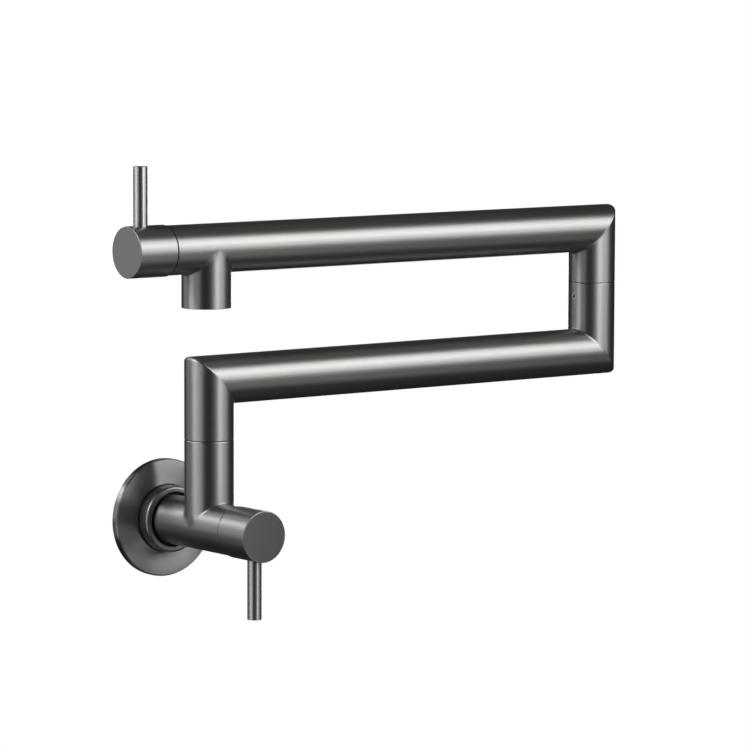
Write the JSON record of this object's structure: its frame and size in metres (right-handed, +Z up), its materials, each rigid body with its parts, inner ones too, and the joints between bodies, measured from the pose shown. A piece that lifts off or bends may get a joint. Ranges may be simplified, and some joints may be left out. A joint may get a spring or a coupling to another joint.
{
  "type": "wall mounted pot filler",
  "caption": "Folding wall mounted pot filler: escutcheon, body with riser, two round swivel arms with mitred corners, a knob valve with a rod lever at each end, outlet with aerator.",
  "frame": {"origin": "centre of the tapped inlet hole, in the plane of the wall", "axes": "+Y into the wall along the inlet, +Z up along the swivels, +X along the folded arms"},
  "size_m": [0.3504, 0.1004, 0.2516],
  "materials": {
    "gunmetal_finish": "satin dark grey coating over fine brushing round the tubes",
    "escutcheon_finish": "satin dark grey coating over circular brushing",
    "brass": "machined",
    "steel": "plain stainless steel",
    "rubber": "smooth black rubber",
    "acetal": "black acetal",
    "white_plastic": "moulded acetal",
    "ceramic": "lapped alumina ceramic"
  },
  "bodies": {
    "valve_body": {"wall_escutcheon": "escutcheon_finish", "wall_gasket": "rubber", "escutcheon_collar": "gunmetal_finish", "collar_o_ring": "rubber", "inlet_body": "gunmetal_finish", "inlet_bonnet": "brass", "inlet_sleeve": "brass", "inlet_seal": "rubber", "inlet_fixed_disc": "ceramic", "inlet_glide_ring": "acetal", "base_swivel_screw": "steel", "base_swivel_glide_ring": "acetal"},
    "inlet_handle": {"inlet_knob": "gunmetal_finish", "inlet_lever": "gunmetal_finish", "inlet_spindle": "brass", "inlet_spindle_o_rings": "rubber", "inlet_spindle_clip": "steel", "inlet_moving_disc": "ceramic"},
    "lower_arm": {"lower_arm": "gunmetal_finish", "lower_arm_spigot": "brass", "base_swivel_o_rings": "rubber", "elbow_socket": "brass", "elbow_screw": "steel", "elbow_glide_ring": "acetal"},
    "upper_arm": {"upper_arm": "gunmetal_finish", "upper_arm_spigot": "brass", "elbow_o_rings": "rubber", "outlet_bonnet": "brass", "outlet_sleeve": "brass", "outlet_seal": "rubber", "outlet_fixed_disc": "ceramic", "outlet_glide_ring": "acetal", "aerator_washer": "rubber", "aerator_screen": "steel", "aerator_core": "white_plastic", "aerator_housing": "gunmetal_finish"},
    "outlet_handle": {"outlet_knob": "gunmetal_finish", "outlet_lever": "gunmetal_finish", "outlet_spindle": "brass", "outlet_spindle_o_rings": "rubber", "outlet_spindle_clip": "steel", "outlet_moving_disc": "ceramic"}
  },
  "joints": [
    {"name": "base_swivel", "type": "hinge", "parent": "valve_body", "child": "lower_arm", "pos_m": [0, -0.0476, 0.0494], "axis": [0, 0, -1], "range_deg": [0, 180]},
    {"name": "elbow_swivel", "type": "hinge", "parent": "lower_arm", "child": "upper_arm", "pos_m": [0.281, -0.0476, 0.1243], "axis": [0, 0, 1], "continuous": true},
    {"name": "inlet_knob_turn", "type": "hinge", "parent": "valve_body", "child": "inlet_handle", "pos_m": [0, -0.0748, 0], "axis": [0, -1, 0], "range_deg": [0, 90]},
    {"name": "outlet_knob_turn", "type": "hinge", "parent": "upper_arm", "child": "outlet_handle", "pos_m": [-0.0298, -0.0476, 0.157], "axis": [1, 0, 0], "range_deg": [0, 90]}
  ]
}
